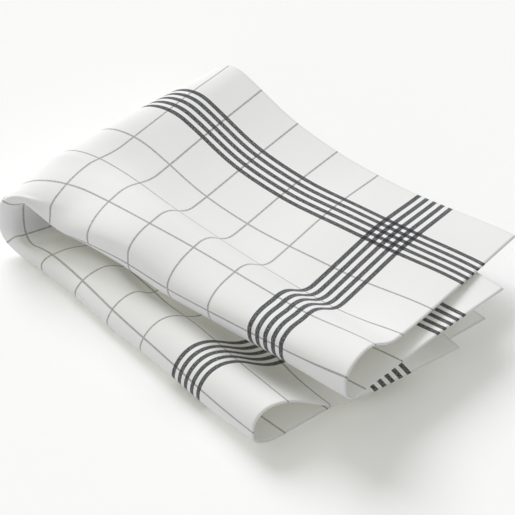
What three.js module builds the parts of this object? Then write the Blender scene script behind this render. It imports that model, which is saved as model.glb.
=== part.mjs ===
import * as THREE from 'three';

// A rectangular cloth napkin folded in quarters and laid down loosely: four layers, two soft
// rolls along the front and one soft bend along the left. Millimetres, Z up, resting on Z = 0.
// "along" runs with the rolls and is zero on the left bend; "across" is zero on the rolls.

// The flat sheet
const HALF_LENGTH = 322;
const HALF_WIDTH = 206;
const THICKNESS = 1;

// Sections of the two pairs of leaves, one row for each station along the cloth. A section starts
// at the nose of its roll, at x, y, z. "nose" is how far the nose lies from the fold line. The
// turns are the headings of the two leaves seen from above. The leaf over the roll climbs to a
// crest, falls to a valley and ends at its edge; the leaf under it falls to a foot. "take" is the
// length of cloth that the leaf over the roll eases in on its way down from the crest.
const COLUMNS = [
  'along', 'x', 'y', 'z', 'nose', 'turnOver', 'turnUnder',
  'crestArc', 'crest', 'valleyArc', 'valley', 'mid', 'edge',
  'footArc', 'foot', 'underMid', 'underEdge', 'take',
];
const UPPER_PAIR = readTable(COLUMNS, [
  [59, -82, -108, 41, -14, 97.8, 87.6, 44, 60, 94, 50, 50, 47, 20, 29, 42, 36, 5],
  [104, -37, -105, 55, -8, 98.1, 88.2, 38, 64, 86, 45, 42, 38.5, 37, 28, 35, 26, 5],
  [158, 19, -106, 51, -16, 98.7, 89.8, 40, 64, 90, 42, 39, 33, 33, 28, 26, 9, 8],
  [213, 75, -105, 57, -16, 99.4, 90.5, 36, 64.5, 88, 42.5, 41.5, 32, 31, 33, 22, 10, 5],
  [268, 131, -102, 61, -17, 100.7, 92.4, 33, 65, 86, 43, 41, 33, 35, 35, 31, 32, 0],
  [322, 185, -98, 59, -24, 101.5, 93.3, 28, 71, 74, 52, 42, 35, 25, 40, 40, 36, 0],
]);
const LOWER_PAIR = readTable(COLUMNS, [
  [59, -112, -121, 12, 9, 78.9, 88.5, 8, 11, 62, 2, 3, 3, 16, 0, 0, 0, 0],
  [104, -69, -124, 10, 9, 78.9, 87.9, 25, 20, 60, 9, 15, 13, 15, 0, 0, 0, 0],
  [158, -17, -131, 9, 9, 78, 86.9, 29, 26, 50, 18, 21, 11, 15, 0, 0, 0, 0],
  [213, 36, -137, 11, 11, 77.3, 86.2, 30, 30, 72, 16, 20, 10, 25, 0, 0, 0, 0],
  [268, 89, -143, 10, 11, 76.8, 85.7, 32, 32, 88, 11, 18, 15, 29, 0, 0, 0, 0],
  [322, 143, -147, 12, 14, 76.4, 85.5, 32, 35, 104, 9, 13, 18, 36, 0, 0, 0, 0],
]);

// The line down the middle of the left bend lies at "along" on the sheet. It starts at x, y, z
// and has two sides: the outer one, from the top layer to the bottom one, and the inner one
// between the two middle layers.
const BEND = {
  along: -12,
  x: -139,
  y: -121,
  z: 32,
  outer: { turn: 86, spreadArc: 14, spread: 2, spreadEdge: 13, mid: 35, edge: 22 },
  inner: { turn: 78, spreadArc: 14, spread: 8, spreadEdge: -13, mid: 29, edge: 21 },
};

// How the bend closes the cloth between the two pairs
const BEND_REACH = 59;
const LEAST_SLACK = 1.1;
const MOST_SLACK = 1.2;
const MOST_PULL = 6;
const LOOK_BACK = 6;

// Where the leaf over a roll eases cloth in, as arc lengths from the nose
const EASE_START = 30;
const EASE_END = 112;

// Shape of a leaf between its knots
const CREST_TO_EDGE = 0.5;
const END_RISE = 1.5;
const END_SLOPE = 0.5;

// Fineness of the sums and of the surface's grid
const ARC_STEP = 2;
const BEND_STEPS = 24;
const HALVINGS = 18;
const ROLL_REACH = 62;
const ROLL_CELLS = 10;
const WIDTH_CELLS = 10;
const BEND_CELLS = 10;
const LENGTH_CELLS = 15;

const rad = (degrees) => (degrees * Math.PI) / 180;
const mix = (a, b, t) => a + (b - a) * t;

// Turns a table into rows that can be asked for a column by its name.
function readTable(names, rows) {
  return rows.map((row) => Object.fromEntries(names.map((name, index) => [name, row[index]])));
}

// Cubic piece from (x0, y0) to (x1, y1) with end slopes m0 and m1: the height and the slope at x.
function cubic(x0, x1, y0, y1, m0, m1, x) {
  const h = x1 - x0;
  const t = Math.min(Math.max((x - x0) / h, 0), 1);
  const t2 = t * t;
  const t3 = t2 * t;
  const level = (2 * t3 - 3 * t2 + 1) * y0 + (3 * t2 - 2 * t3) * y1;
  const lean = (t3 - 2 * t2 + t) * h * m0 + (t3 - t2) * h * m1;
  const slope = (6 * (t - t2) * (y1 - y0)) / h + (3 * t2 - 4 * t + 1) * m0 + (3 * t2 - 2 * t) * m1;
  return [level + lean, slope];
}

// Every column of the section at one place along the cloth, smoothly between the table's rows.
function sectionAt(rows, along) {
  const last = rows.length - 1;
  let k = 0;
  while (k < last - 1 && along > rows[k + 1].along) {
    k += 1;
  }
  const slopeAt = (name, i) => {
    const rise = (j) => (rows[j + 1][name] - rows[j][name]) / (rows[j + 1].along - rows[j].along);
    if (i === 0) {
      return END_RISE * rise(0) - END_SLOPE * slopeAt(name, 1);
    }
    if (i === last) {
      return END_RISE * rise(last - 1) - END_SLOPE * slopeAt(name, last - 1);
    }
    const before = rows[i].along - rows[i - 1].along;
    const after = rows[i + 1].along - rows[i].along;
    return (rise(i - 1) * after + rise(i) * before) / (before + after);
  };
  const section = {};
  for (const name of Object.keys(rows[0])) {
    const [from, to] = [rows[k], rows[k + 1]];
    [section[name]] = cubic(
      from.along, to.along, from[name], to[name], slopeAt(name, k), slopeAt(name, k + 1), along,
    );
  }
  return section;
}

// Height and slope of a leaf over its own arc, through knots without overshooting them.
function profile(knots, firstSlope, arc) {
  const last = knots.length - 1;
  const width = (i) => knots[i + 1][0] - knots[i][0];
  const rise = (i) => (knots[i + 1][1] - knots[i][1]) / width(i);
  const slopeAt = (i) => {
    if (i === 0) {
      return firstSlope;
    }
    if (i === last) {
      return rise(last - 1);
    }
    const a = rise(i - 1);
    const b = rise(i);
    if (a * b <= 0) {
      return 0;
    }
    const wa = 2 * width(i) + width(i - 1);
    const wb = width(i) + 2 * width(i - 1);
    return (wa + wb) / (wa / a + wb / b);
  };
  let k = 0;
  while (k < last - 1 && arc >= knots[k + 1][0]) {
    k += 1;
  }
  const [[x0, y0], [x1, y1]] = [knots[k], knots[k + 1]];
  return cubic(x0, x1, y0, y1, slopeAt(k), slopeAt(k + 1), arc);
}

// Distance gained across the ground while the cloth climbs and falls, summed in small steps.
function groundGained(slopeOf, arc) {
  const steps = Math.max(1, Math.ceil(arc / ARC_STEP));
  const width = arc / steps;
  let sum = 0;
  for (let i = 0; i < steps; i += 1) {
    const slope = slopeOf((i + 0.5) * width);
    sum += Math.sqrt(Math.max(0, 1 - slope * slope)) * width;
  }
  return sum;
}

// Share of the easing that is used up at an arc length from the nose.
function easedShare(arc) {
  const t = Math.min(Math.max((arc - EASE_START) / (EASE_END - EASE_START), 0), 1);
  return t * t * (3 - 2 * t);
}

// One point of a pair of leaves joined by a roll. "over" is measured from the fold line, positive
// into the upper leaf and negative into the lower one.
function pairPoint(rows, along, over) {
  const s = sectionAt(rows, along);
  const upper = over >= s.nose;
  const take = upper ? s.take : 0;
  const free = Math.abs(over - s.nose);
  const arc = free - take * easedShare(free);
  const length = HALF_WIDTH - (upper ? s.nose : -s.nose) - take;
  const knots = upper
    ? [
      [0, s.z],
      [s.crestArc, s.crest],
      [s.valleyArc, s.valley],
      [mix(s.valleyArc, length, CREST_TO_EDGE), s.mid],
      [length, s.edge],
    ]
    : [
      [0, s.z],
      [s.footArc, s.foot],
      [mix(s.footArc, length, CREST_TO_EDGE), s.underMid],
      [length, s.underEdge],
    ];
  const first = upper ? 1 : -1;
  const turn = rad(upper ? s.turnOver : s.turnUnder);
  const ground = groundGained((a) => profile(knots, first, a)[1], arc);
  const height = profile(knots, first, arc)[0];
  return new THREE.Vector3(s.x + ground * Math.cos(turn), s.y + ground * Math.sin(turn), height);
}

// One point of the line down the middle of the left bend: a narrow loop seen from above, its
// outer side under the top and bottom layers and its inner side between the two middle ones.
function bendMiddle(across) {
  const b = BEND;
  const outer = across >= 0;
  const arc = Math.abs(across);
  const side = outer ? b.outer : b.inner;
  const sign = outer ? 1 : -1;
  const spread = [
    [0, 0],
    [side.spreadArc, sign * side.spread],
    [HALF_WIDTH, sign * side.spreadEdge],
  ];
  const climb = [
    [0, b.z],
    [HALF_WIDTH / 2, side.mid],
    [HALF_WIDTH, side.edge],
  ];
  const climbStart = (side.mid - b.z) / (HALF_WIDTH / 2);
  const turn = rad(side.turn);
  const slopeOf = (a) => Math.hypot(profile(spread, sign, a)[1], profile(climb, climbStart, a)[1]);
  const ground = groundGained(slopeOf, arc);
  const aside = profile(spread, sign, arc)[0];
  return new THREE.Vector3(
    b.x + ground * Math.cos(turn) - aside * Math.sin(turn),
    b.y + ground * Math.sin(turn) + aside * Math.cos(turn),
    profile(climb, climbStart, arc)[0],
  );
}

// A smooth curve between two points with given directions at its ends. It has the length of the
// cloth it stands for, but is never pulled straight or left with cloth to spare.
function bendCurve(p0, d0, p1, d1, cloth, share) {
  const chord = p0.distanceTo(p1);
  const length = Math.min(Math.max(cloth, LEAST_SLACK * chord), MOST_SLACK * chord);
  const at = (pull, t) => {
    const point = new THREE.Vector3();
    for (const axis of ['x', 'y', 'z']) {
      [point[axis]] = cubic(0, 1, p0[axis], p1[axis], pull * d0[axis], pull * d1[axis], t);
    }
    return point;
  };
  const chain = (pull) => {
    const points = Array.from({ length: BEND_STEPS + 1 }, (_, i) => at(pull, i / BEND_STEPS));
    const run = [0];
    for (let i = 1; i <= BEND_STEPS; i += 1) {
      run.push(run[i - 1] + points[i].distanceTo(points[i - 1]));
    }
    return { points, run };
  };
  let low = 0;
  let high = MOST_PULL * length;
  for (let i = 0; i < HALVINGS; i += 1) {
    const middle = (low + high) / 2;
    if (chain(middle).run[BEND_STEPS] > length) {
      high = middle;
    } else {
      low = middle;
    }
  }
  const { points, run } = chain((low + high) / 2);
  const want = share * run[BEND_STEPS];
  let k = 0;
  while (k < BEND_STEPS - 1 && run[k + 1] < want) {
    k += 1;
  }
  return points[k].clone().lerp(points[k + 1], (want - run[k]) / (run[k + 1] - run[k]));
}

// The middle of the cloth's thickness at any place on the sheet.
function clothPoint(along, across) {
  if (along >= BEND_REACH) {
    return pairPoint(UPPER_PAIR, along, across);
  }
  if (along <= -BEND_REACH) {
    return pairPoint(LOWER_PAIR, -along, -across);
  }
  const down = new THREE.Vector3(0, 0, -1);
  const middle = bendMiddle(across);
  if (along >= BEND.along) {
    const cloth = BEND_REACH - BEND.along;
    const start = pairPoint(UPPER_PAIR, BEND_REACH, across);
    const before = pairPoint(UPPER_PAIR, BEND_REACH + LOOK_BACK, across);
    const heading = start.clone().sub(before).normalize();
    return bendCurve(start, heading, middle, down, cloth, (BEND_REACH - along) / cloth);
  }
  const cloth = BEND_REACH + BEND.along;
  const end = pairPoint(LOWER_PAIR, BEND_REACH, -across);
  const after = pairPoint(LOWER_PAIR, BEND_REACH + LOOK_BACK, -across);
  const heading = after.clone().sub(end).normalize();
  return bendCurve(middle, down, end, heading, cloth, (BEND.along - along) / cloth);
}

// Places of the grid lines from one cut edge to the other, closer together where the cloth turns.
function gridLines(half, closeReach, closeCount, farCount) {
  const close = Array.from({ length: closeCount + 1 }, (_, i) => (closeReach * i) / closeCount);
  const far = Array.from({ length: farCount }, (_, i) => mix(closeReach, half, (i + 1) / farCount));
  const positive = [...close, ...far];
  const negative = positive.slice(1).reverse().map((value) => -value);
  return [...negative, ...positive];
}

// The cloth as one closed skin: both faces and the cut edge between them.
function clothGeometry() {
  const alongs = gridLines(HALF_LENGTH, BEND_REACH, BEND_CELLS, LENGTH_CELLS);
  const acrosses = gridLines(HALF_WIDTH, ROLL_REACH, ROLL_CELLS, WIDTH_CELLS);
  const grid = alongs.map((along) => acrosses.map((across) => clothPoint(along, across)));
  const rows = alongs.length;
  const columns = acrosses.length;
  const clampRow = (i) => Math.min(Math.max(i, 0), rows - 1);
  const clampColumn = (j) => Math.min(Math.max(j, 0), columns - 1);
  const positions = [];
  for (const side of [1, -1]) {
    for (let i = 0; i < rows; i += 1) {
      for (let j = 0; j < columns; j += 1) {
        const byLength = grid[clampRow(i + 1)][j].clone().sub(grid[clampRow(i - 1)][j]);
        const byWidth = grid[i][clampColumn(j + 1)].clone().sub(grid[i][clampColumn(j - 1)]);
        const normal = byLength.cross(byWidth).normalize();
        const point = grid[i][j].clone().addScaledVector(normal, (side * THICKNESS) / 2);
        positions.push(point.x, point.y, point.z);
      }
    }
  }
  const front = (i, j) => i * columns + j;
  const back = (i, j) => rows * columns + front(i, j);
  const index = [];
  const quad = (a, b, c, d) => index.push(a, b, c, a, c, d);
  const rim = ([i0, j0], [i1, j1]) => quad(front(i0, j0), back(i0, j0), back(i1, j1), front(i1, j1));
  for (let i = 0; i < rows - 1; i += 1) {
    for (let j = 0; j < columns - 1; j += 1) {
      quad(front(i, j), front(i + 1, j), front(i + 1, j + 1), front(i, j + 1));
      quad(back(i, j), back(i, j + 1), back(i + 1, j + 1), back(i + 1, j));
    }
  }
  for (let i = 0; i < rows - 1; i += 1) {
    rim([i, 0], [i + 1, 0]);
    rim([i + 1, columns - 1], [i, columns - 1]);
  }
  for (let j = 0; j < columns - 1; j += 1) {
    rim([0, j + 1], [0, j]);
    rim([rows - 1, j], [rows - 1, j + 1]);
  }
  const geometry = new THREE.BufferGeometry();
  geometry.setAttribute('position', new THREE.Float32BufferAttribute(positions, 3));
  geometry.setIndex(index);
  return geometry;
}

// Moves the cloth so that it rests on Z = 0 with the middle of its outline over the origin.
function settle(geometry) {
  geometry.computeBoundingBox();
  const { min, max } = geometry.boundingBox;
  geometry.translate(-(min.x + max.x) / 2, -(min.y + max.y) / 2, -min.z);
  geometry.computeVertexNormals();
  return geometry;
}

const napkin = new THREE.Mesh(
  settle(clothGeometry()),
  new THREE.MeshStandardMaterial({ color: 0xf1f1ee, roughness: 0.9 }),
);
napkin.name = 'napkin';

const part = new THREE.Group();
part.name = 'folded_napkin';
part.add(napkin);

export default part;
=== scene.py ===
"""A cloth napkin folded in quarters and laid down loosely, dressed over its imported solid.

The cloth is one sheet with a thin grey check and a dark striped border on both faces. Its folds
follow the same tables of sections as the solid, on a finer grid. Shapes are worked out in
millimetres, as in the part's source, and turned to metres in the row frame when they are meshed.
"""

import logging
import math
from dataclasses import dataclass, field
from enum import Enum

import bpy
import numpy as np
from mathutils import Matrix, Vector


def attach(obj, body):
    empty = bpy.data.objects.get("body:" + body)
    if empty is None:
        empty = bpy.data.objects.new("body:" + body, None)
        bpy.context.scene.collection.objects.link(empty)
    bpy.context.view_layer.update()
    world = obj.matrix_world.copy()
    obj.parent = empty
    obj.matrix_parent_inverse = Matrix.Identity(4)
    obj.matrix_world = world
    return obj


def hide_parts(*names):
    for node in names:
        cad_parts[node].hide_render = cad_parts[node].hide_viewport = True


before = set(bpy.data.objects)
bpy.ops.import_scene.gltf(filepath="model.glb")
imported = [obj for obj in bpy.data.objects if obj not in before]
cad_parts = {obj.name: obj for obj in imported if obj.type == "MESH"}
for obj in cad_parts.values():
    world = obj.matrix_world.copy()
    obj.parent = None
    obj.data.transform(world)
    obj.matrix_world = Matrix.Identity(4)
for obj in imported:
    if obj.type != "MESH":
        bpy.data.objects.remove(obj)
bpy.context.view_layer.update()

LOG = logging.getLogger("napkin")
MM = 0.001


class Leaf(Enum):
    """The two leaves of a pair that a roll joins."""

    OVER = 1
    UNDER = -1


# The sections of the two pairs of leaves, in millimetres and degrees, one row for each station
# along the cloth. They are the rounded result of a fit to the crossings of the check in the
# photograph, and so are the left bend's place and heights and the camera's angle and scale. The
# upper pair's crest, valley, mid, edge and take columns, and a few other values, were set one by
# one after it.
COLUMNS = (
    "along", "x", "y", "z", "nose", "turnOver", "turnUnder", "crestArc", "crest",
    "valleyArc", "valley", "mid", "edge", "footArc", "foot", "underMid", "underEdge", "take",
)
UPPER_PAIR = (
    (59, -82, -108, 41, -14, 97.8, 87.6, 44, 60, 94, 50, 50, 47, 20, 29, 42, 36, 5),
    (104, -37, -105, 55, -8, 98.1, 88.2, 38, 64, 86, 45, 42, 38.5, 37, 28, 35, 26, 5),
    (158, 19, -106, 51, -16, 98.7, 89.8, 40, 64, 90, 42, 39, 33, 33, 28, 26, 9, 8),
    (213, 75, -105, 57, -16, 99.4, 90.5, 36, 64.5, 88, 42.5, 41.5, 32, 31, 33, 22, 10, 5),
    (268, 131, -102, 61, -17, 100.7, 92.4, 33, 65, 86, 43, 41, 33, 35, 35, 31, 32, 0),
    (322, 185, -98, 59, -24, 101.5, 93.3, 28, 71, 74, 52, 42, 35, 25, 40, 40, 36, 0),
)
LOWER_PAIR = (
    (59, -112, -121, 12, 9, 78.9, 88.5, 8, 11, 62, 2, 3, 3, 16, 0, 0, 0, 0),
    (104, -69, -124, 10, 9, 78.9, 87.9, 25, 20, 60, 9, 15, 13, 15, 0, 0, 0, 0),
    (158, -17, -131, 9, 9, 78, 86.9, 29, 26, 50, 18, 21, 11, 15, 0, 0, 0, 0),
    (213, 36, -137, 11, 11, 77.3, 86.2, 30, 30, 72, 16, 20, 10, 25, 0, 0, 0, 0),
    (268, 89, -143, 10, 11, 76.8, 85.7, 32, 32, 88, 11, 18, 15, 29, 0, 0, 0, 0),
    (322, 143, -147, 12, 14, 76.4, 85.5, 32, 35, 104, 9, 13, 18, 36, 0, 0, 0, 0),
)


def cubic_weights(t: np.ndarray) -> tuple[np.ndarray, np.ndarray, np.ndarray, np.ndarray]:
    """How much each end of a cubic piece counts at places within it.

    Args:
        t: The places, from 0 at the start of the piece to 1 at its end.

    Returns:
        Weights of the starting value and slope, and of the ending value and slope.
    """
    return (
        2 * t**3 - 3 * t**2 + 1,
        t**3 - 2 * t**2 + t,
        3 * t**2 - 2 * t**3,
        t**3 - t**2,
    )


@dataclass(frozen=True)
class Spline:
    """Cubic pieces through knots, with a slope at each knot.

    Attributes:
        places: Knot places, one row per curve.
        heights: Knot heights, in the same layout.
        slopes: Knot slopes, in the same layout.
    """

    places: np.ndarray
    heights: np.ndarray
    slopes: np.ndarray

    def at(self, place: np.ndarray) -> tuple[np.ndarray, np.ndarray]:
        """Heights and slopes of every curve at given places.

        Args:
            place: One row of places per curve.

        Returns:
            Heights and slopes, shaped as the places.
        """
        last = self.places.shape[1] - 2
        inside = self.places[:, None, 1:-1] <= place[:, :, None]
        piece = np.minimum(inside.sum(axis=2), last)
        row = np.arange(len(self.places))[:, None]
        x0, x1 = self.places[row, piece], self.places[row, piece + 1]
        y0, y1 = self.heights[row, piece], self.heights[row, piece + 1]
        m0, m1 = self.slopes[row, piece], self.slopes[row, piece + 1]
        h = x1 - x0
        t = np.clip((place - x0) / h, 0, 1)
        start, leave, end, arrive = cubic_weights(t)
        y = start * y0 + leave * h * m0 + end * y1 + arrive * h * m1
        slope = (
            (6 * t**2 - 6 * t) * (y0 - y1) / h
            + (3 * t**2 - 4 * t + 1) * m0
            + (3 * t**2 - 2 * t) * m1
        )
        return y, slope

    @classmethod
    def eased(cls, places: np.ndarray, heights: np.ndarray, first: np.ndarray) -> "Spline":
        """Curves that never overshoot their knots.

        Args:
            places: Knot places, one row per curve.
            heights: Knot heights.
            first: Slope of each curve at its first knot.

        Returns:
            The curves.
        """
        width = np.diff(places, axis=1)
        rise = np.diff(heights, axis=1) / width
        before, after = rise[:, :-1], rise[:, 1:]
        wa = 2 * width[:, 1:] + width[:, :-1]
        wb = width[:, 1:] + 2 * width[:, :-1]
        same = before * after > 0
        safe_before = np.where(same, before, 1)
        safe_after = np.where(same, after, 1)
        middle = np.where(same, (wa + wb) / (wa / safe_before + wb / safe_after), 0)
        slopes = np.concatenate([first[:, None], middle, rise[:, -1:]], axis=1)
        return cls(places, heights, slopes)


@dataclass(frozen=True)
class SheetCut:
    """The flat sheet before it is folded, in millimetres.

    Attributes:
        half_length: From the middle of the sheet to a short cut edge.
        half_width: From the roll's fold line to a long cut edge.
        thickness: Of the cloth.
        bend_reach: How far the left bend reaches into each pair of leaves.
        ease_start: Arc length from the nose where the cloth starts to ease in.
        ease_end: Arc length where the easing is over.
    """

    half_length: float = 322.0
    half_width: float = 206.0
    thickness: float = 1.0
    bend_reach: float = 59.0
    ease_start: float = 30.0
    ease_end: float = 112.0

    def taken(self, arc: np.ndarray) -> np.ndarray:
        """Share of the easing behind the roll that is used up at an arc length."""
        share = np.clip((arc - self.ease_start) / (self.ease_end - self.ease_start), 0, 1)
        return share * share * (3 - 2 * share)

    @property
    def flat(self) -> tuple[float, float]:
        """Width and length of the sheet in metres."""
        return 2 * self.half_width * MM, 2 * self.half_length * MM


@dataclass(frozen=True)
class BendSide:
    """One branch of the line down the middle of the left bend, in millimetres.

    Attributes:
        turn: The branch's heading seen from above, in degrees from the way the rolls run.
        spread_arc: Arc length at which the branch has moved aside by its spread.
        spread: How far it has moved aside there.
        spread_edge: How far it has moved aside at the cut edge.
        mid: Its height halfway to the cut edge.
        edge: Its height at the cut edge.
    """

    turn: float
    spread_arc: float
    spread: float
    spread_edge: float
    mid: float
    edge: float


@dataclass(frozen=True)
class LeftBend:
    """The line down the middle of the left bend, in millimetres.

    Attributes:
        along: The line's place along the cloth.
        x: Where the line starts, to the right.
        y: Where it starts, to the back.
        z: Where it starts, above the table.
        outer: Its branch between the top and the bottom layer.
        inner: Its branch between the two middle layers.
    """

    along: float = -12.0
    x: float = -139.0
    y: float = -121.0
    z: float = 32.0
    outer: BendSide = BendSide(turn=86, spread_arc=14, spread=2, spread_edge=13, mid=35, edge=22)
    inner: BendSide = BendSide(turn=78, spread_arc=14, spread=8, spread_edge=-13, mid=29, edge=21)


@dataclass(frozen=True)
class LeafPair:
    """Two leaves joined by a roll, given by one section for each station along the cloth.

    Attributes:
        rows: The table of sections.
        cut: The flat sheet.
        fine: Steps in the sum that turns arc length into distance over the ground.
    """

    rows: tuple[tuple[float, ...], ...]
    cut: SheetCut
    fine: int = 480

    def section(self, along: np.ndarray) -> dict[str, np.ndarray]:
        """Every column of the section at given stations.

        Args:
            along: Stations along the cloth.

        Returns:
            One array of values per column name.
        """
        table = np.array(self.rows, float)
        stations = table[:, 0]
        width = np.diff(stations)
        rise = np.diff(table, axis=0) / width[:, None]
        inner = (rise[:-1] * width[1:, None] + rise[1:] * width[:-1, None]) / (
            width[:-1] + width[1:]
        )[:, None]
        # The first and last slopes leave the curve without curvature at its ends.
        first = 1.5 * rise[0] - 0.5 * inner[0]
        last = 1.5 * rise[-1] - 0.5 * inner[-1]
        slopes = np.vstack([first, inner, last])
        columns = len(COLUMNS)
        spline = Spline(np.tile(stations, (columns, 1)), table.T, slopes.T)
        values, _ = spline.at(np.tile(along, (columns, 1)))
        return dict(zip(COLUMNS, values))

    def profile(self, section: dict[str, np.ndarray], leaf: Leaf) -> tuple[Spline, np.ndarray]:
        """Height of a leaf over its own arc, from the roll's nose to the cut edge.

        Args:
            section: Every column of the section, at some stations.
            leaf: Which of the two leaves.

        Returns:
            One curve for each station, and the length of each.
        """
        length = self.cut.half_width - leaf.value * section["nose"]
        nose = 0 * length
        if leaf is Leaf.OVER:
            length = length - section["take"]
            middle = (section["valleyArc"] + length) / 2
            places = [nose, section["crestArc"], section["valleyArc"], middle, length]
            names = ["z", "crest", "valley", "mid", "edge"]
        else:
            middle = (section["footArc"] + length) / 2
            places = [nose, section["footArc"], middle, length]
            names = ["z", "foot", "underMid", "underEdge"]
        heights = [section[name] for name in names]
        start = np.full(len(length), float(leaf.value))
        return Spline.eased(np.stack(places, 1), np.stack(heights, 1), start), length

    def points(self, along: np.ndarray, over: np.ndarray) -> np.ndarray:
        """Points of the cloth's middle at stations by places across.

        Args:
            along: Stations along the cloth, all at least the bend's reach.
            over: Places across, positive into the leaf that lies over the roll.

        Returns:
            Points in millimetres, stations by places by 3.
        """
        section = self.section(along)
        found = np.zeros((len(along), len(over), 3))
        for leaf in Leaf:
            spline, length = self.profile(section, leaf)
            arc = leaf.value * (over[None, :] - section["nose"][:, None])
            turn = np.radians(section["turnUnder"])
            if leaf is Leaf.OVER:
                arc = arc - section["take"][:, None] * self.cut.taken(arc)
                turn = np.radians(section["turnOver"])
            ground = self.ground(spline, np.maximum(arc, 0), length)
            height, _ = spline.at(np.maximum(arc, 0))
            x = section["x"][:, None] + ground * np.cos(turn)[:, None]
            y = section["y"][:, None] + ground * np.sin(turn)[:, None]
            leaf_points = np.stack([x, y, height], axis=2)
            found = np.where((arc >= 0)[:, :, None], leaf_points, found)
        return found

    def ground(self, spline: Spline, arc: np.ndarray, length: np.ndarray) -> np.ndarray:
        """Distance gained across the ground while the cloth climbs and falls.

        Args:
            spline: Height over arc, one curve per station.
            arc: Arc lengths from the nose.
            length: Whole length of each leaf.

        Returns:
            Distance over the ground, shaped as the arcs.
        """
        share = (np.arange(self.fine) + 0.5) / self.fine
        middles = share[None, :] * length[:, None]
        _, slope = spline.at(middles)
        step = np.sqrt(np.maximum(0, 1 - slope**2)) * (length / self.fine)[:, None]
        total = np.concatenate([np.zeros((len(length), 1)), np.cumsum(step, axis=1)], axis=1)
        knots = np.linspace(0, 1, self.fine + 1)
        rows = [np.interp(arc[i] / length[i], knots, total[i]) for i in range(len(length))]
        return np.array(rows)


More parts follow.
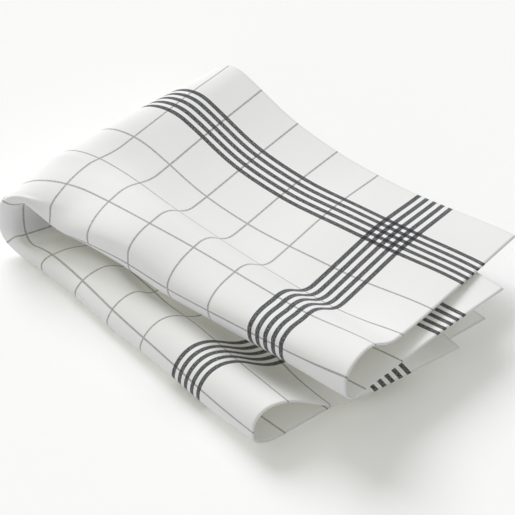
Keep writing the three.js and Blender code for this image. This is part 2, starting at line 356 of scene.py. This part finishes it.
@dataclass(frozen=True)
class FoldedSheet:
    """The whole folded cloth as a function of its two flat coordinates, in millimetres.

    Attributes:
        cut: The flat sheet.
        bend: The left bend's middle line.
        line_steps: Steps in the sum along the middle line.
        bend_steps: Steps along one half of the bend.
        most_pull: Upper end of the search for a curve's pull, in lengths of the curve.
        halvings: How often that search halves its range.
        least_slack: The shortest a curve may be, in lengths of its chord.
        most_slack: The longest it may be, in the same measure.
        look_back: How far past the bend's reach the headings of the leaves are measured.
    """

    cut: SheetCut = SheetCut()
    bend: LeftBend = LeftBend()
    line_steps: int = 480
    bend_steps: int = 96
    most_pull: float = 6.0
    halvings: int = 22
    least_slack: float = 1.1
    most_slack: float = 1.2
    look_back: float = 6.0

    def upper(self) -> LeafPair:
        """The top two layers."""
        return LeafPair(UPPER_PAIR, self.cut)

    def lower(self) -> LeafPair:
        """The bottom two layers."""
        return LeafPair(LOWER_PAIR, self.cut)

    def branch(self, side: BendSide, sign: float, arc: np.ndarray) -> np.ndarray:
        """One branch of the line down the middle of the left bend.

        Args:
            side: Its sizes.
            sign: One for the outer branch and minus one for the inner one.
            arc: Arc lengths from the start of the line.

        Returns:
            One point for each arc length.
        """
        half = self.cut.half_width
        spread = Spline.eased(
            np.array([[0, side.spread_arc, half]]),
            np.array([[0, sign * side.spread, sign * side.spread_edge]]),
            np.array([sign]),
        )
        climb = Spline.eased(
            np.array([[0, half / 2, half]]),
            np.array([[self.bend.z, side.mid, side.edge]]),
            np.array([(side.mid - self.bend.z) / (half / 2)]),
        )
        marks = np.linspace(0, half, self.line_steps + 1)
        _, spread_slope = spread.at(marks[None, :])
        _, climb_slope = climb.at(marks[None, :])
        gain = np.sqrt(np.maximum(0, 1 - spread_slope[0] ** 2 - climb_slope[0] ** 2))
        step = (gain[1:] + gain[:-1]) / 2 * (marks[1] - marks[0])
        ground = np.interp(arc, marks, np.concatenate([[0], np.cumsum(step)]))
        aside = spread.at(arc[None, :])[0][0]
        height = climb.at(arc[None, :])[0][0]
        turn = math.radians(side.turn)
        x = self.bend.x + ground * math.cos(turn) - aside * math.sin(turn)
        y = self.bend.y + ground * math.sin(turn) + aside * math.cos(turn)
        return np.stack([x, y, height], axis=1)

    def middle_line(self, across: np.ndarray) -> np.ndarray:
        """The line down the middle of the left bend.

        Args:
            across: Places across the cloth, positive on the outer branch.

        Returns:
            One point for each place.
        """
        outer = self.branch(self.bend.outer, 1.0, np.abs(across))
        inner = self.branch(self.bend.inner, -1.0, np.abs(across))
        return np.where((across <= 0)[:, None], inner, outer)

    def bend_half(
        self,
        start: np.ndarray,
        leave: np.ndarray,
        end: np.ndarray,
        arrive: np.ndarray,
        cloth: float,
        share: np.ndarray,
    ) -> np.ndarray:
        """Half of the left bend, one smooth curve for each place across.

        Each curve is as long as its cloth where the slack allows it, and else as near as it can be.

        Args:
            start: First point of each curve.
            leave: Its heading there.
            end: Last point of each curve.
            arrive: Its heading there.
            cloth: Length of cloth in this half.
            share: Shares of the curve's length to give back.

        Returns:
            Points, shares by places by 3.
        """
        chord = np.linalg.norm(end - start, axis=1)
        length = np.clip(cloth, self.least_slack * chord, self.most_slack * chord)
        marks = np.linspace(0, 1, self.bend_steps + 1)[:, None, None]
        at_start, at_leave, at_end, at_arrive = cubic_weights(marks)

        def chain(pull: np.ndarray) -> tuple[np.ndarray, np.ndarray]:
            """Points and run of each curve.

            Args:
                pull: How strongly each curve holds on to its headings.

            Returns:
                Points along the curves, and the length of each curve up to them.
            """
            leaving, arriving = pull[:, None] * leave, pull[:, None] * arrive
            points = at_start * start + at_leave * leaving + at_end * end + at_arrive * arriving
            steps = np.linalg.norm(np.diff(points, axis=0), axis=2)
            return points, np.vstack([np.zeros(len(start)), np.cumsum(steps, axis=0)])

        low, high = np.zeros(len(start)), self.most_pull * length
        for _ in range(self.halvings):
            middle = (low + high) / 2
            _, run = chain(middle)
            long = run[-1] > length
            high = np.where(long, middle, high)
            low = np.where(long, low, middle)
        points, run = chain((low + high) / 2)
        found = np.zeros((len(share), len(start), 3))
        for j in range(len(start)):
            for axis in range(3):
                found[:, j, axis] = np.interp(share * run[-1, j], run[:, j], points[:, j, axis])
        return found

    def points(self, along: np.ndarray, across: np.ndarray) -> np.ndarray:
        """The middle of the cloth's thickness over a grid of flat coordinates.

        Args:
            along: Places from the left bend, positive into the upper pair.
            across: Places from the rolls' fold line.

        Returns:
            Points in millimetres, along by across by 3.
        """
        reach = self.cut.bend_reach
        found = np.zeros((len(along), len(across), 3))
        above, below = along >= reach, along <= -reach
        found[above] = self.upper().points(along[above], across)
        found[below] = self.lower().points(-along[below], -across)
        ends = np.array([reach, reach + self.look_back])
        top = self.upper().points(ends, across)
        bottom = self.lower().points(ends, -across)
        middle = self.middle_line(across)
        down = np.tile([0.0, 0.0, -1.0], (len(across), 1))
        leave = (top[0] - top[1]) / np.linalg.norm(top[0] - top[1], axis=1)[:, None]
        arrive = (bottom[1] - bottom[0]) / np.linalg.norm(bottom[1] - bottom[0], axis=1)[:, None]
        centre = self.bend.along
        first = ~above & (along >= centre)
        second = ~below & (along < centre)
        share = (reach - along[first]) / (reach - centre)
        found[first] = self.bend_half(top[0], leave, middle, down, reach - centre, share)
        share = (centre - along[second]) / (reach + centre)
        found[second] = self.bend_half(middle, down, bottom[0], arrive, reach + centre, share)
        return found


class Socket:
    """A shader socket that takes part in sums, by adding Math nodes to its tree."""

    def __init__(self, tree: "Shader", link: bpy.types.NodeSocket) -> None:
        """Wraps a node's output.

        Args:
            tree: The shader that the socket is in.
            link: The output socket.
        """
        self.tree = tree
        self.link = link

    def _math(self, operation: str, *values: "Socket | float") -> "Socket":
        """A Math node of that operation on the values."""
        inputs = {index: value for index, value in enumerate(values)}
        return self.tree.node("ShaderNodeMath", {"operation": operation}, inputs)

    def __add__(self, other: "Socket | float") -> "Socket":
        """Sum."""
        return self._math("ADD", self, other)

    __radd__ = __add__

    def __sub__(self, other: "Socket | float") -> "Socket":
        """Difference."""
        return self._math("SUBTRACT", self, other)

    def __rsub__(self, other: float) -> "Socket":
        """Difference from a number."""
        return self._math("SUBTRACT", other, self)

    def __mul__(self, other: "Socket | float") -> "Socket":
        """Product."""
        return self._math("MULTIPLY", self, other)

    __rmul__ = __mul__

    def __truediv__(self, other: "Socket | float") -> "Socket":
        """Quotient."""
        return self._math("DIVIDE", self, other)

    def __rtruediv__(self, other: float) -> "Socket":
        """Quotient of a number."""
        return self._math("DIVIDE", other, self)

    def __abs__(self) -> "Socket":
        """Size without sign."""
        return self._math("ABSOLUTE", self)

    def less(self, limit: float, soft: float) -> "Socket":
        """One below a limit and zero above it, over a soft step.

        Args:
            limit: Where the step stands.
            soft: Its width.

        Returns:
            The mask.
        """
        settings = {"interpolation_type": "SMOOTHSTEP"}
        inputs = {
            "Value": self,
            "From Min": limit - soft / 2,
            "From Max": limit + soft / 2,
            "To Min": 1.0,
            "To Max": 0.0,
        }
        return self.tree.node("ShaderNodeMapRange", settings, inputs)

    def most(self, other: "Socket | float") -> "Socket":
        """The larger of two."""
        return self._math("MAXIMUM", self, other)

    def least(self, other: "Socket | float") -> "Socket":
        """The smaller of two."""
        return self._math("MINIMUM", self, other)

    def fraction(self) -> "Socket":
        """What is left over the whole number below."""
        return self._math("FRACT", self)

    def sine(self) -> "Socket":
        """Sine, of radians."""
        return self._math("SINE", self)


class Shader:
    """A material's node tree with one principled surface.

    Attributes:
        MIX_INPUTS: Numbers of a Mix node's share and two colours, as their names aren't unique.
        MIX_RESULT: Number of its colour output.
    """

    MIX_INPUTS = (0, 6, 7)
    MIX_RESULT = 2

    def __init__(self, name: str) -> None:
        """Makes an empty material.

        Args:
            name: The material's name.
        """
        self.material = bpy.data.materials.new(name)
        self.material.use_nodes = True
        self.nodes = self.material.node_tree.nodes
        self.links = self.material.node_tree.links
        self.nodes.clear()
        self.surface = self.nodes.new("ShaderNodeBsdfPrincipled")
        output = self.nodes.new("ShaderNodeOutputMaterial")
        self.links.new(self.surface.outputs[0], output.inputs["Surface"])

    def node(
        self,
        kind: str,
        settings: dict[str, object],
        inputs: dict[str | int, object],
        output: str | int = 0,
    ) -> Socket:
        """Adds any node.

        Args:
            kind: The node's type.
            settings: Its properties, set first.
            inputs: Values or sockets for its inputs, by name or number.
            output: The output to give back.

        Returns:
            That output, wrapped.
        """
        made = self.nodes.new(kind)
        for name, value in settings.items():
            setattr(made, name, value)
        for name, value in inputs.items():
            self._feed(made.inputs[name], value)
        return Socket(self, made.outputs[output])

    def _feed(self, socket: bpy.types.NodeSocket, value: object) -> None:
        """Sets or links one input.

        Args:
            socket: The input.
            value: A plain value to set, or a wrapped socket to link.
        """
        if isinstance(value, Socket):
            self.links.new(value.link, socket)
        else:
            socket.default_value = value

    def feed(self, name: str, value: object) -> None:
        """Sets or links one input of the surface."""
        self._feed(self.surface.inputs[name], value)

    def mix(self, share: Socket, first: object, second: object) -> Socket:
        """A blend of two colours.

        Args:
            share: How much of the second colour shows.
            first: A colour or a socket.
            second: A colour or a socket.

        Returns:
            The blended colour.
        """
        inputs = dict(zip(self.MIX_INPUTS, (share, first, second)))
        return self.node("ShaderNodeMix", {"data_type": "RGBA"}, inputs, self.MIX_RESULT)


Colour = tuple[float, float, float, float]


@dataclass(frozen=True)
class Grain:
    """A fine noise over the cloth.

    Attributes:
        per_millimetre: Its coarsest grains in a millimetre.
        detail: How many rounds of finer grains are added.
        roughness: How strongly the finer grains show.
    """

    per_millimetre: float
    detail: float
    roughness: float

    def build(self, shader: Shader, place: Socket, cell: float) -> Socket:
        """Adds the noise.

        Args:
            shader: The shader that it is for.
            place: The cloth's flat coordinates, in cells.
            cell: Side of one cell, in millimetres.

        Returns:
            The noise, around one half.
        """
        inputs = {
            "Vector": place,
            "Scale": cell * self.per_millimetre,
            "Detail": self.detail,
            "Roughness": self.roughness,
        }
        return shader.node("ShaderNodeTexNoise", {"noise_dimensions": "2D"}, inputs)


@dataclass(frozen=True)
class WovenCheck:
    """The cloth's finish: a plain weave with a thin grey check and a dark striped border.

    Attributes:
        cell: Side of one cell of the check, in millimetres.
        thin: Width of a thin line, in millimetres.
        thin_soft: Width of the soft side of a thin line, in millimetres.
        dark_soft: Width of the soft side of a dark stripe, in millimetres.
        stop_soft: Width of the step where lines or stripes stop, in cells or pitches.
        first_along: Place of the first thin line along, in cells.
        first_across: Place of the first thin line across, in cells.
        thin_along: Last thin line's place along, in cells.
        thin_across: Last thin line's place across, in cells.
        border_along: Middle of the first dark stripe along, in cells.
        border_across: Middle of the first dark stripe across, in cells.
        pitch_along: From one dark stripe to the next along, in cells.
        pitch_across: From one dark stripe to the next across, in cells.
        stripes: How many dark stripes.
        fill: Share of the pitch that a stripe covers.
        ground: Colour of the white ground.
        grey: Colour of a thin line.
        dark: Colour of a dark stripe.
        cross: Colour where dark stripes cross.
        thin_cover: How much a thin line hides the ground.
        cross_cover: How much the crossing's colour hides the stripe's.
        thin_wear: How much the flecks take from a thin line.
        dark_wear: How much the flecks take from a dark stripe.
        fleck_grain: The noise of the flecks.
        fleck_limit: Noise above which there is a fleck.
        fleck_soft: Width of that step.
        slub_grain: The noise of the uneven threads.
        thread: From one thread to the next, in millimetres.
        thread_relief: Height of the threads against that of the uneven ones.
        relief_share: How strongly the relief bends the light.
        relief_depth: How deep it is, in millimetres.
        roughness: Of the cloth.
        specular: How much of the usual mirror light it gives back.
        sheen: Strength of the light that its fibres scatter.
        sheen_roughness: How widely they scatter it.
    """

    cell: float = 39.0
    thin: float = 1.5
    thin_soft: float = 0.35
    dark_soft: float = 0.3
    stop_soft: float = 0.01
    first_along: float = 0.0
    first_across: float = 0.5
    thin_along: float = 5.0
    thin_across: float = 2.5
    border_along: float = 6.0
    border_across: float = 3.5
    pitch_along: float = 0.185
    pitch_across: float = 0.175
    stripes: int = 5
    fill: float = 0.52
    ground: Colour = (0.850, 0.850, 0.858, 1.0)
    grey: Colour = (0.27, 0.265, 0.265, 1.0)
    dark: Colour = (0.036, 0.036, 0.046, 1.0)
    cross: Colour = (0.020, 0.020, 0.028, 1.0)
    thin_cover: float = 0.85
    cross_cover: float = 0.9
    thin_wear: float = 0.45
    dark_wear: float = 0.30
    fleck_grain: Grain = Grain(per_millimetre=1.1, detail=2.0, roughness=0.6)
    fleck_limit: float = 0.55
    fleck_soft: float = 0.2
    slub_grain: Grain = Grain(per_millimetre=1 / 2.2, detail=3.0, roughness=0.65)
    thread: float = 0.62
    thread_relief: float = 0.35
    relief_share: float = 0.35
    relief_depth: float = 0.25
    roughness: float = 0.92
    specular: float = 0.25
    sheen: float = 0.12
    sheen_roughness: float = 0.5

    def build(self) -> bpy.types.Material:
        """Makes the material.

        Returns:
            The material, which reads the sheet's flat coordinates from its UV map.
        """
        shader = Shader("woven_check")
        place = shader.node("ShaderNodeUVMap", {"uv_map": "Sheet"}, {})
        along = abs(self._part(shader, place, 0))
        across = abs(self._part(shader, place, 1))
        fleck = self._fleck(shader, place)
        thin = self._thin(along, self.first_along, self.thin_along)
        thin = thin.most(self._thin(across, self.first_across, self.thin_across))
        thin = thin * (1.0 - self.thin_wear * fleck)
        dark_along = self._stripes(along, self.border_along, self.pitch_along)
        dark_across = self._stripes(across, self.border_across, self.pitch_across)
        dark = dark_along.most(dark_across)
        both = dark_along.least(dark_across)
        worn = dark * (1.0 - self.dark_wear * fleck)
        colour = shader.mix(thin * self.thin_cover, self.ground, self.grey)
        colour = shader.mix(worn, colour, self.dark)
        colour = shader.mix(both * self.cross_cover, colour, self.cross)
        shader.feed("Base Color", colour)
        shader.feed("Roughness", self.roughness)
        shader.feed("Specular IOR Level", self.specular)
        shader.feed("Sheen Weight", self.sheen)
        shader.feed("Sheen Roughness", self.sheen_roughness)
        shader.feed("Normal", self._weave(shader, place))
        return shader.material

    def _part(self, shader: Shader, place: Socket, index: int) -> Socket:
        """One flat coordinate in cells, 0 for along and 1 for across."""
        return shader.node("ShaderNodeSeparateXYZ", {}, {0: place}, index)

    def _thin(self, at: Socket, first: float, last: float) -> Socket:
        """The thin lines of one direction.

        Args:
            at: The flat coordinate without its sign, in cells.
            first: Place of the first line.
            last: Place of the last one, with one to a cell between them.

        Returns:
            Their mask.
        """
        half = self.thin / self.cell / 2
        soft = self.thin_soft / self.cell
        away = abs((at - first + 0.5).fraction() - 0.5)
        return away.less(half, soft) * at.less(last + 0.5, self.stop_soft)

    def _stripes(self, at: Socket, first: float, pitch: float) -> Socket:
        """The dark stripes of one direction.

        Args:
            at: The flat coordinate without its sign, in cells.
            first: Middle of the first stripe.
            pitch: From one stripe to the next.

        Returns:
            Their mask.
        """
        step = (at - (first - pitch / 2)) / pitch
        away = abs(step.fraction() - 0.5)
        soft = self.dark_soft / self.cell / pitch
        inside = step.less(self.stripes, self.stop_soft) * (1.0 - step.less(0.0, self.stop_soft))
        return away.less(self.fill / 2, soft) * inside

    def _fleck(self, shader: Shader, place: Socket) -> Socket:
        """Small light flecks where single threads show."""
        noise = self.fleck_grain.build(shader, place, self.cell)
        return 1.0 - noise.less(self.fleck_limit, self.fleck_soft)

    def _weave(self, shader: Shader, place: Socket) -> Socket:
        """Threads over and under, as a bump.

        Args:
            shader: The shader that it is for.
            place: The cloth's flat coordinates, in cells.

        Returns:
            The bent normal.
        """
        turns = math.pi * self.cell / self.thread
        along = self._part(shader, place, 0)
        across = self._part(shader, place, 1)
        threads = (along * turns).sine() * (across * turns).sine()
        height = threads * self.thread_relief + self.slub_grain.build(shader, place, self.cell)
        inputs = {
            "Strength": self.relief_share,
            "Distance": self.relief_depth * MM,
            "Height": height,
        }
        return shader.node("ShaderNodeBump", {}, inputs)


@dataclass
class FoldedNapkin:
    """The napkin as one closed thin skin over the folded sheet.

    Attributes:
        sheet: The folded sheet.
        finish: The cloth's finish.
        name: The piece's name.
        along_cells: Cells from the middle to a short edge.
        across_cells: Cells from the fold line to a long edge.
        bend_share: Share of the cells along that the bend takes.
        roll_share: Share of the cells across that the roll takes.
        roll_reach: How far the roll reaches, in millimetres.
        origin: The row frame's origin in the tables' frame, in millimetres, once it is built.
    """

    sheet: FoldedSheet = field(default_factory=FoldedSheet)
    finish: WovenCheck = field(default_factory=WovenCheck)
    name: str = "napkin_cloth"
    along_cells: int = 125
    across_cells: int = 84
    bend_share: float = 0.2
    roll_share: float = 0.34
    roll_reach: float = 62.0
    origin: np.ndarray = field(default_factory=lambda: np.zeros(3))

    def lines(self, half: float, reach: float, cells: int, share: float) -> np.ndarray:
        """Places of the grid lines from one cut edge to the other.

        Args:
            half: From the middle to a cut edge.
            reach: Where the lines stop being close together.
            cells: Cells from the middle to a cut edge.
            share: Share of them within the reach.

        Returns:
            The places, in order.
        """
        close = round(cells * share)
        near = np.linspace(0, reach, close + 1)
        far = np.linspace(reach, half, cells - close + 1)[1:]
        positive = np.concatenate([near, far])
        return np.concatenate([-positive[:0:-1], positive])

    def build(self) -> bpy.types.Object:
        """Returns:
            The piece.
        """
        cut = self.sheet.cut
        along = self.lines(cut.half_length, cut.bend_reach, self.along_cells, self.bend_share)
        across = self.lines(cut.half_width, self.roll_reach, self.across_cells, self.roll_share)
        middle = self.sheet.points(along, across)
        points, faces, places = self.skin(along, across, middle)
        points = points - self.settle(points)
        piece = self.mesh(points * MM, faces, places / self.finish.cell)
        piece.data.materials.append(self.finish.build())
        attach(piece, "root")
        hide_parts("napkin")
        return piece

    def settle(self, points: np.ndarray) -> np.ndarray:
        """Where the row frame's origin is in the tables' frame.

        Args:
            points: The skin in the tables' frame, in millimetres.

        Returns:
            The point under the middle of the cloth's outline, at its lowest height.
        """
        low, high = points.min(axis=0), points.max(axis=0)
        self.origin = np.array([(low[0] + high[0]) / 2, (low[1] + high[1]) / 2, low[2]])
        return self.origin

    def normals(self, along: np.ndarray, across: np.ndarray, middle: np.ndarray) -> np.ndarray:
        """Unit normals of the middle surface.

        Args:
            along: Places along.
            across: Places across.
            middle: The surface over them.

        Returns:
            One normal for each point.
        """
        by_length = np.gradient(middle, along, axis=0)
        by_width = np.gradient(middle, across, axis=1)
        normal = np.cross(by_length, by_width)
        return normal / np.linalg.norm(normal, axis=2, keepdims=True)

    def skin(
        self, along: np.ndarray, across: np.ndarray, middle: np.ndarray
    ) -> tuple[np.ndarray, np.ndarray, np.ndarray]:
        """Both faces and the cut edge between them.

        Args:
            along: Places along.
            across: Places across.
            middle: The middle surface over them.

        Returns:
            Points, faces and flat places, in millimetres.
        """
        normal = self.normals(along, across, middle)
        half = self.sheet.cut.thickness / 2
        rows, columns = len(along), len(across)
        flat = np.stack(np.meshgrid(along, across, indexing="ij"), axis=2)
        sides = [(middle + side * half * normal).reshape(-1, 3) for side in (1, -1)]
        points = np.concatenate(sides)
        places = np.concatenate([flat.reshape(-1, 2)] * 2)
        front = np.arange(rows * columns).reshape(rows, columns)
        back = front + rows * columns
        a, b, c, d = front[:-1, :-1], front[1:, :-1], front[1:, 1:], front[:-1, 1:]
        faces = [np.stack([a, b, c, d], axis=2).reshape(-1, 4)]
        a, b, c, d = back[:-1, :-1], back[:-1, 1:], back[1:, 1:], back[1:, :-1]
        faces.append(np.stack([a, b, c, d], axis=2).reshape(-1, 4))
        ring = np.concatenate([front[:, 0], front[-1, 1:], front[-2::-1, -1], front[0, -2:0:-1]])
        twin = ring + rows * columns
        faces.append(np.stack([ring, twin, np.roll(twin, -1), np.roll(ring, -1)], axis=1))
        return points, np.concatenate(faces), places

    def mesh(self, points: np.ndarray, faces: np.ndarray, places: np.ndarray) -> bpy.types.Object:
        """Makes the mesh object with its flat coordinates as a UV map.

        Args:
            points: Vertices in metres.
            faces: Four vertices for each face.
            places: Flat place of each vertex, in cells.

        Returns:
            The object.
        """
        mesh = bpy.data.meshes.new(self.name)
        mesh.from_pydata(points.tolist(), [], faces.tolist())
        layer = mesh.uv_layers.new(name="Sheet")
        corner = np.zeros(len(mesh.loops), np.int32)
        mesh.loops.foreach_get("vertex_index", corner)
        layer.uv.foreach_set("vector", places[corner].astype(np.float32).ravel())
        mesh.polygons.foreach_set("use_smooth", np.ones(len(mesh.polygons), bool))
        mesh.validate()
        piece = bpy.data.objects.new(self.name, mesh)
        bpy.context.scene.collection.objects.link(piece)
        return piece


@dataclass(frozen=True)
class Lamp:
    """A far, wide and soft light.

    Attributes:
        name: Its name.
        azimuth: Where it stands, in degrees from the right, seen from above.
        elevation: How high it stands, in degrees.
        strength: Watts per square metre.
        width: How wide it looks, in degrees.
        tint: Its colour.
        shadows: Whether it casts them.
    """

    name: str
    azimuth: float
    elevation: float
    strength: float
    width: float
    tint: tuple[float, float, float]
    shadows: bool

    def build(self) -> None:
        """Adds the light to the scene."""
        data = bpy.data.lights.new(self.name, "SUN")
        data.energy = self.strength
        data.angle = math.radians(self.width)
        data.color = self.tint
        data.use_shadow = self.shadows
        lamp = bpy.data.objects.new(self.name, data)
        a, e = math.radians(self.azimuth), math.radians(self.elevation)
        toward = Vector((math.cos(a) * math.cos(e), math.sin(a) * math.cos(e), math.sin(e)))
        lamp.rotation_mode = "QUATERNION"
        lamp.rotation_quaternion = toward.to_track_quat("Z", "Y")
        bpy.context.scene.collection.objects.link(lamp)


@dataclass(frozen=True)
class Studio:
    """Floor, soft lights and the camera.

    Attributes:
        azimuth: How far the camera stands to the right of the front, in degrees.
        elevation: How high it stands, in degrees.
        distance: From the camera to its target, in metres.
        pixels_per_metre: Scale of the picture at the target.
        frame_pixels: Side of the picture that this scale is for.
        sensor: Width of the camera's sensor, in millimetres.
        nearest: Nearest distance that the camera shows, in metres.
        farthest: Farthest distance that it shows, in metres.
        floor_half: From the middle of the floor to its sides, in metres.
        floor_drop: How far the floor lies below the napkin, in metres.
        floor_colour: Of the floor.
        floor_roughness: Of the floor.
        ambient: Strength of the light from all around.
        ambient_colour: Its colour.
        key: The light that casts the shadows.
        fill: The light that fills them.
    """

    azimuth: float = 45.0
    elevation: float = 41.33
    distance: float = 9.75
    pixels_per_metre: float = 1408.5
    frame_pixels: int = 515
    sensor: float = 36.0
    nearest: float = 0.1
    farthest: float = 100.0
    floor_half: float = 40.0
    floor_drop: float = 0.0002
    floor_colour: Colour = (0.975, 0.975, 0.995, 1.0)
    floor_roughness: float = 0.95
    ambient: float = 0.41
    ambient_colour: Colour = (0.965, 0.97, 1.0, 1.0)
    key: Lamp = Lamp(
        name="key_light",
        azimuth=158.0,
        elevation=38.0,
        strength=1.85,
        width=34.0,
        tint=(0.965, 0.97, 1.0),
        shadows=True,
    )
    fill: Lamp = Lamp(
        name="fill_light",
        azimuth=204.0,
        elevation=60.0,
        strength=0.80,
        width=60.0,
        tint=(1.0, 1.0, 0.76),
        shadows=False,
    )

    def build(self, target: Vector) -> None:
        """Makes everything that isn't the napkin.

        Args:
            target: The point in the middle of the camera's view.
        """
        self.floor()
        self.camera(target)
        self.key.build()
        self.fill.build()
        world = bpy.data.worlds.new("studio")
        world.use_nodes = True
        background = world.node_tree.nodes["Background"]
        background.inputs["Color"].default_value = self.ambient_colour
        background.inputs["Strength"].default_value = self.ambient
        bpy.context.scene.view_settings.view_transform = "Standard"
        bpy.context.scene.world = world

    def floor(self) -> None:
        """A pale floor under the napkin."""
        half = self.floor_half
        mesh = bpy.data.meshes.new("floor")
        corners = [(-half, -half, 0), (half, -half, 0), (half, half, 0), (-half, half, 0)]
        mesh.from_pydata(corners, [], [(0, 1, 2, 3)])
        plane = bpy.data.objects.new("floor", mesh)
        plane.location.z = -self.floor_drop
        bpy.context.scene.collection.objects.link(plane)
        shader = Shader("studio_floor")
        shader.feed("Base Color", self.floor_colour)
        shader.feed("Roughness", self.floor_roughness)
        mesh.materials.append(shader.material)

    def camera(self, target: Vector) -> None:
        """The camera at the photograph's angle.

        Args:
            target: The point in the middle of its view.
        """
        data = bpy.data.cameras.new("camera")
        data.sensor_width = self.sensor
        data.lens = self.pixels_per_metre * self.distance * self.sensor / self.frame_pixels
        data.clip_start = self.nearest
        data.clip_end = self.farthest
        a, e = math.radians(self.azimuth), math.radians(self.elevation)
        back = Vector((math.sin(a) * math.cos(e), -math.cos(a) * math.cos(e), math.sin(e)))
        camera = bpy.data.objects.new("camera", data)
        camera.location = target + back * self.distance
        camera.rotation_mode = "QUATERNION"
        camera.rotation_quaternion = (-back).to_track_quat("-Z", "Y")
        bpy.context.scene.collection.objects.link(camera)
        bpy.context.scene.camera = camera


def main() -> None:
    """Builds the napkin and the studio in order, and reports each piece."""
    napkin = FoldedNapkin()
    piece = napkin.build()
    LOG.info("%s: %d faces", piece.name, len(piece.data.polygons))
    Studio().build(Vector(-napkin.origin * MM))
    LOG.info("studio built")


if __name__ == "__main__":
    logging.basicConfig(level=logging.INFO)
    main()
